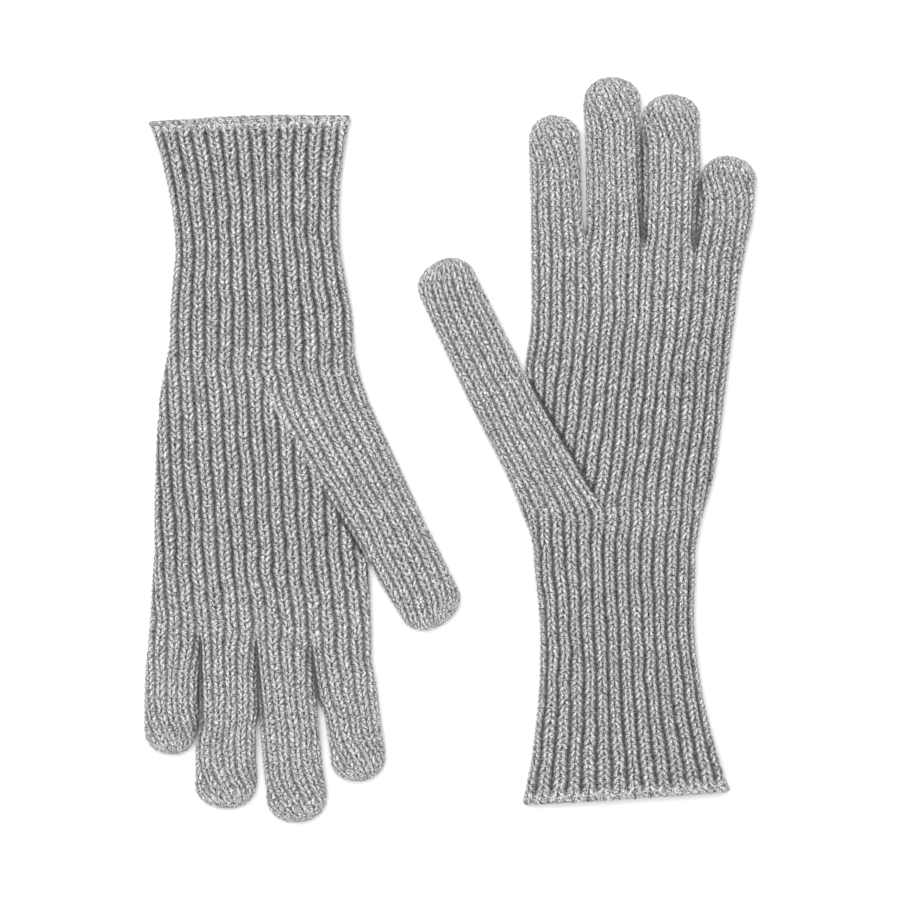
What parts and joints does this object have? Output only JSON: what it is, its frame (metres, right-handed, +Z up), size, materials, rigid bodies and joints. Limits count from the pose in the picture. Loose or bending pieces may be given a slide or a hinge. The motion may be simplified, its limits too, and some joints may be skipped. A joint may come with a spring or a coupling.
{
  "type": "knitted gloves",
  "caption": "Pair of long-cuffed ribbed wool gloves lying flat, one palm up and one back up, with folding fingers, thumbs and cuffs.",
  "frame": {"origin": "the middle of the pair's footprint, on the surface the gloves lie on", "axes": "+Z up from the surface; +Y the way the left-hand glove's fingers point, along the gloves; +X from the right-hand glove to the left-hand one"},
  "size_m": [0.2554, 0.3128, 0.013],
  "materials": {
    "wool_rib": "fuzzy melange rib knit",
    "wool_edge": "fuzzy melange cast-on edge",
    "wool_tip": "fuzzy melange rib knit, drawn in",
    "wool_stitches": "twisted wool yarn"
  },
  "bodies": {
    "right_hand": {"right_hand": "wool_rib", "right_thumb_gusset": "wool_rib", "right_thumb_crotch": "wool_stitches", "right_index_middle_crotch": "wool_stitches", "right_middle_ring_crotch": "wool_stitches", "right_ring_little_crotch": "wool_stitches"},
    "right_cuff": {"right_cuff": "wool_rib", "right_cast_on_edge": "wool_edge"},
    "right_thumb": {"right_thumb": "wool_rib", "right_thumb_tip": "wool_tip"},
    "right_index": {"right_index_finger": "wool_rib", "right_index_tip": "wool_tip"},
    "right_middle": {"right_middle_finger": "wool_rib", "right_middle_tip": "wool_tip"},
    "right_ring": {"right_ring_finger": "wool_rib", "right_ring_tip": "wool_tip"},
    "right_little": {"right_little_finger": "wool_rib", "right_little_tip": "wool_tip"},
    "left_hand": {"left_hand": "wool_rib", "left_thumb_gusset": "wool_rib", "left_thumb_crotch": "wool_stitches", "left_index_middle_crotch": "wool_stitches", "left_middle_ring_crotch": "wool_stitches", "left_ring_little_crotch": "wool_stitches"},
    "left_cuff": {"left_cuff": "wool_rib", "left_cast_on_edge": "wool_edge"},
    "left_thumb": {"left_thumb": "wool_rib", "left_thumb_tip": "wool_tip"},
    "left_index": {"left_index_finger": "wool_rib", "left_index_tip": "wool_tip"},
    "left_middle": {"left_middle_finger": "wool_rib", "left_middle_tip": "wool_tip"},
    "left_ring": {"left_ring_finger": "wool_rib", "left_ring_tip": "wool_tip"},
    "left_little": {"left_little_finger": "wool_rib", "left_little_tip": "wool_tip"}
  },
  "joints": [
    {"name": "left_glove_lift", "type": "slide", "parent": "right_hand", "child": "left_hand", "axis": [0, 0, 1], "range_m": [0, 0.08]},
    {"name": "right_cuff_fold", "type": "hinge", "parent": "right_hand", "child": "right_cuff", "pos_m": [-0.07952, 0.04809, 0.0065], "axis": [1, 0, 0], "range_deg": [0, 60]},
    {"name": "right_thumb_fold", "type": "hinge", "parent": "right_hand", "child": "right_thumb", "pos_m": [-0.0196, -0.04478, 0.0058], "axis": [-0.8746, -0.4848, 0], "range_deg": [0, 80]},
    {"name": "right_index_fold", "type": "hinge", "parent": "right_hand", "child": "right_index", "pos_m": [-0.04569, -0.08687, 0.0058], "axis": [-0.9962, 0.0872, 0], "range_deg": [0, 80]},
    {"name": "right_middle_fold", "type": "hinge", "parent": "right_hand", "child": "right_middle", "pos_m": [-0.07007, -0.08474, 0.0058], "axis": [-0.9962, 0.0872, 0], "range_deg": [0, 80]},
    {"name": "right_ring_fold", "type": "hinge", "parent": "right_hand", "child": "right_ring", "pos_m": [-0.09361, -0.08267, 0.0058], "axis": [-0.9962, 0.0872, 0], "range_deg": [0, 80]},
    {"name": "right_little_fold", "type": "hinge", "parent": "right_hand", "child": "right_little", "pos_m": [-0.11619, -0.0807, 0.0058], "axis": [-0.9962, 0.0872, 0], "range_deg": [0, 80]},
    {"name": "left_cuff_fold", "type": "hinge", "parent": "left_hand", "child": "left_cuff", "pos_m": [0.06948, -0.04141, 0.0065], "axis": [-1, 0, 0], "range_deg": [0, 60]},
    {"name": "left_thumb_fold", "type": "hinge", "parent": "left_hand", "child": "left_thumb", "pos_m": [0.01779, 0.03109, 0.0058], "axis": [0.8988, 0.4384, 0], "range_deg": [0, 80]},
    {"name": "left_index_fold", "type": "hinge", "parent": "left_hand", "child": "left_index", "pos_m": [0.04579, 0.09408, 0.0058], "axis": [0.9945, -0.1045, 0], "range_deg": [0, 80]},
    {"name": "left_middle_fold", "type": "hinge", "parent": "left_hand", "child": "left_middle", "pos_m": [0.06926, 0.09162, 0.0058], "axis": [0.9945, -0.1045, 0], "range_deg": [0, 80]},
    {"name": "left_ring_fold", "type": "hinge", "parent": "left_hand", "child": "left_ring", "pos_m": [0.0923, 0.08919, 0.0058], "axis": [0.9945, -0.1045, 0], "range_deg": [0, 80]},
    {"name": "left_little_fold", "type": "hinge", "parent": "left_hand", "child": "left_little", "pos_m": [0.11406, 0.08691, 0.0058], "axis": [0.9945, -0.1045, 0], "range_deg": [0, 80]}
  ]
}
